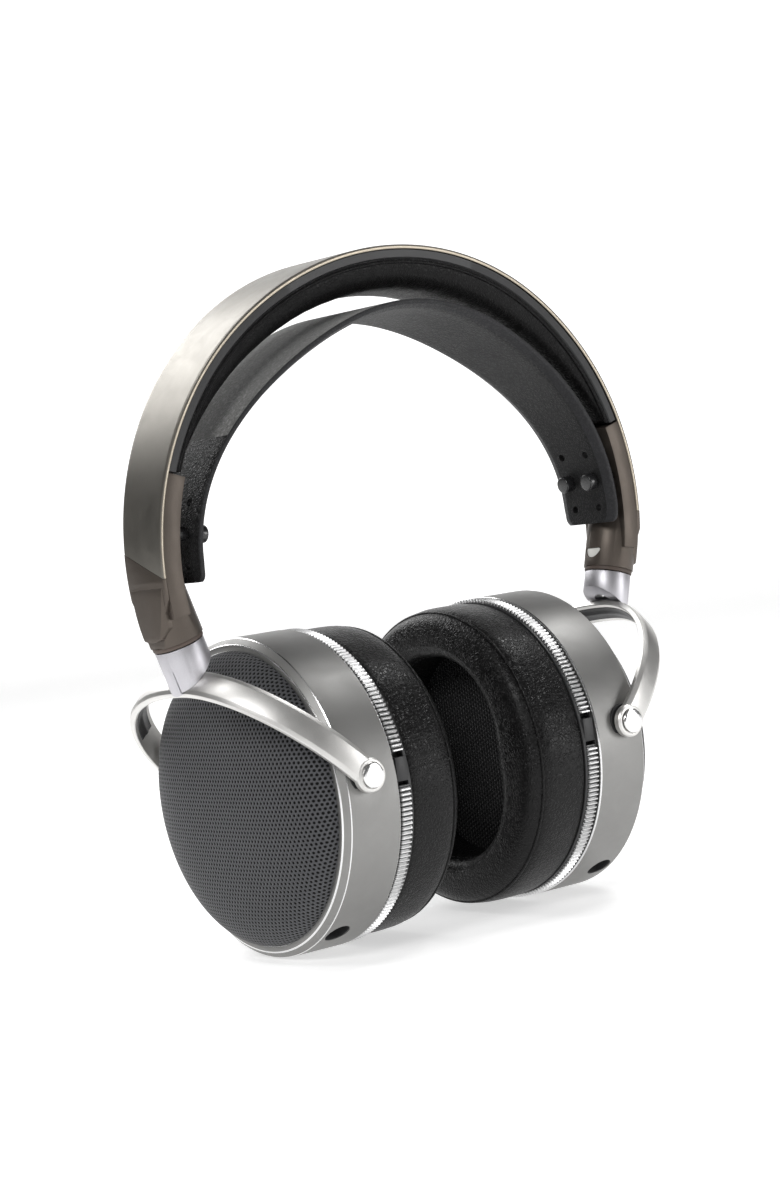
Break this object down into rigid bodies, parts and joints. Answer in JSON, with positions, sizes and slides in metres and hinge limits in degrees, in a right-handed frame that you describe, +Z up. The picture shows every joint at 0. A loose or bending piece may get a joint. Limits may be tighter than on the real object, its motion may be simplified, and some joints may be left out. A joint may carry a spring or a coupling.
{
  "type": "over-ear headphones",
  "caption": "Over-ear headphones with a sprung metal headband, padded suspension strap, arched swivelling yokes and round open-backed ear cups with leather pads.",
  "frame": {"origin": "on the surface the cups stand on, midway between the cups and level with their pivot pins' axis", "axes": "+Z up, +X towards the wearer's left, -Y towards the wearer's front"},
  "size_m": [0.1914, 0.109, 0.2146],
  "materials": {
    "band_metal": "satin warm grey anodised",
    "liner_black": "matt",
    "head_leather": "fine grain, semi-matt",
    "strap_leather": "fine grain, semi-matt",
    "peg_black": "semi-gloss",
    "block_brown": "fine matt",
    "screw_steel": "plain",
    "inset_white": "satin",
    "gasket_brown": "matt",
    "slider_steel": "brushed",
    "collar_satin": "bead blasted, anodised",
    "yoke_satin": "bead blasted, anodised",
    "lining_black": "matt",
    "pin_polished": "polished",
    "housing_satin": "satin anodised, bright cut edges",
    "bush_plastic": "matt",
    "cover_weave": "open honeycomb weave",
    "plate_black": "matt",
    "knurl_bright": "bright machined",
    "mount_black": "matt",
    "ear_leather": "fine grain, semi-gloss",
    "mesh_black": "fine mesh",
    "driver_black": "matt",
    "magnet_nickel": "nickel plated",
    "film_silver": "thin metallised film",
    "socket_black": "semi-gloss"
  },
  "bodies": {
    "headband": {"outer_band": "band_metal", "band_liner": "liner_black", "headband_pad": "head_leather", "suspension_strap": "strap_leather", "strap_pegs_l": "peg_black", "end_block_l": "block_brown", "block_cover_l": "block_brown", "block_screws_l": "screw_steel", "clip_inset_l": "inset_white", "sleeve_ring_l": "gasket_brown", "strap_pegs_r": "peg_black", "end_block_r": "block_brown", "block_cover_r": "block_brown", "block_screws_r": "screw_steel", "clip_inset_r": "inset_white", "sleeve_ring_r": "gasket_brown"},
    "slider_l": {"height_slider_l": "slider_steel"},
    "yoke_l": {"collar_l": "collar_satin", "yoke_l": "yoke_satin", "yoke_lining_l": "lining_black", "pivot_pins_l": "pin_polished"},
    "cup_l": {"cup_housing_l": "housing_satin", "pivot_bushes_l": "bush_plastic", "jack_socket_l": "socket_black", "cup_cover_l": "cover_weave", "cover_plate_l": "plate_black", "driver_frame_l": "driver_black", "magnets_l": "magnet_nickel", "diaphragm_l": "film_silver", "knurled_ring_l": "knurl_bright", "pad_mount_l": "mount_black", "driver_screws_l": "screw_steel", "pad_mesh_l": "mesh_black", "ear_pad_l": "ear_leather"},
    "slider_r": {"height_slider_r": "slider_steel"},
    "yoke_r": {"collar_r": "collar_satin", "yoke_r": "yoke_satin", "yoke_lining_r": "lining_black", "pivot_pins_r": "pin_polished"},
    "cup_r": {"cup_housing_r": "housing_satin", "pivot_bushes_r": "bush_plastic", "jack_socket_r": "socket_black", "cup_cover_r": "cover_weave", "cover_plate_r": "plate_black", "driver_frame_r": "driver_black", "magnets_r": "magnet_nickel", "diaphragm_r": "film_silver", "knurled_ring_r": "knurl_bright", "pad_mount_r": "mount_black", "driver_screws_r": "screw_steel", "pad_mesh_r": "mesh_black", "ear_pad_r": "ear_leather"}
  },
  "joints": [
    {"name": "height_l", "type": "slide", "parent": "headband", "child": "slider_l", "axis": [-0.2924, 0, -0.9563], "range_m": [0, 0.018]},
    {"name": "swivel_l", "type": "hinge", "parent": "slider_l", "child": "yoke_l", "pos_m": [0.0866, -0.0123, 0.1015], "axis": [0.2924, 0, 0.9563], "range_deg": [-90, 15]},
    {"name": "tilt_l", "type": "hinge", "parent": "yoke_l", "child": "cup_l", "pos_m": [0.05205, 0, 0.05655], "axis": [0, 1, 0], "range_deg": [-10, 10]},
    {"name": "height_r", "type": "slide", "parent": "headband", "child": "slider_r", "axis": [0.2924, 0, -0.9563], "range_m": [0, 0.018]},
    {"name": "swivel_r", "type": "hinge", "parent": "slider_r", "child": "yoke_r", "pos_m": [-0.0866, -0.0123, 0.1015], "axis": [-0.2924, 0, 0.9563], "range_deg": [-15, 90]},
    {"name": "tilt_r", "type": "hinge", "parent": "yoke_r", "child": "cup_r", "pos_m": [-0.05205, 0, 0.05655], "axis": [0, 1, 0], "range_deg": [-10, 10]}
  ]
}
